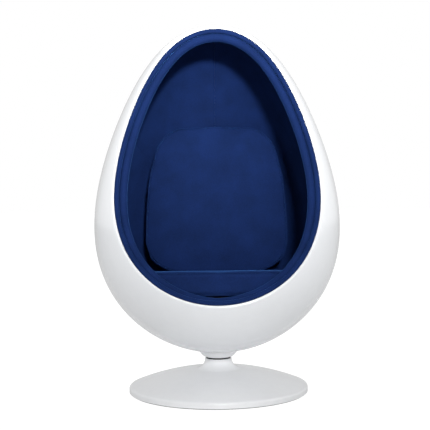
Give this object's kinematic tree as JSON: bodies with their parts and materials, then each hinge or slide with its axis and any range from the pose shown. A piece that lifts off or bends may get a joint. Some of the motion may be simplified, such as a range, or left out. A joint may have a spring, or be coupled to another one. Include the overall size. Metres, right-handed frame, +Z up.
{
  "type": "pod chair",
  "caption": "Egg-shaped lounge shell on a trumpet swivel base, lined in velvet, with a loose seat cushion and a loose back cushion.",
  "frame": {"origin": "on the floor, under the middle of the round base, on the swivel axis", "axes": "+Z up, -Y the way the sitter faces, +X to the right in the front view"},
  "size_m": [0.8572, 0.7969, 1.3005],
  "materials": {
    "shell_gloss": "polished white gelcoat",
    "base_lacquer": "white gloss lacquer",
    "hub_lacquer": "white gloss lacquer",
    "velvet": "short-pile navy velvet",
    "foam": "bonded foam sheet",
    "plywood": "sealed birch plywood",
    "hook_tape": "woven hook-and-loop tape",
    "zip_teeth": "nylon coil zip on tape",
    "black_steel": "black powder coat",
    "zinc_steel": "bright zinc plate",
    "ground_steel": "fine ground",
    "nylon": "natural nylon",
    "acetal": "black acetal",
    "seal_rubber": "matte",
    "foot_rubber": "matte grey"
  },
  "bodies": {
    "base": {"base_cover": "base_lacquer", "base_plate": "black_steel", "cover_screws": "zinc_steel", "floor_ring": "foot_rubber", "post_tube": "black_steel", "post_gussets": "black_steel", "lower_bush": "nylon", "upper_bush": "nylon", "lower_washer": "ground_steel", "thrust_pad": "acetal", "swivel_seal": "seal_rubber"},
    "pod": {"spindle": "ground_steel", "upper_washer": "ground_steel", "spindle_washer": "zinc_steel", "spindle_circlip": "ground_steel", "hub_cup": "hub_lacquer", "backing_plate": "zinc_steel", "mount_washers": "zinc_steel", "mount_bolts": "zinc_steel", "outer_shell": "shell_gloss", "rim_roll": "velvet", "rim_piping": "velvet", "foam_lining": "foam", "liner_bowl": "velvet", "liner_right": "velvet", "liner_left": "velvet", "seat_cushion": "velvet", "seat_deck": "plywood", "hook_strips": "hook_tape", "back_cushion": "velvet", "back_zip": "zip_teeth"}
  },
  "joints": [
    {"name": "swivel", "type": "hinge", "parent": "base", "child": "pod", "pos_m": [0, 0, 0.11], "axis": [0, 0, 1], "continuous": true}
  ]
}
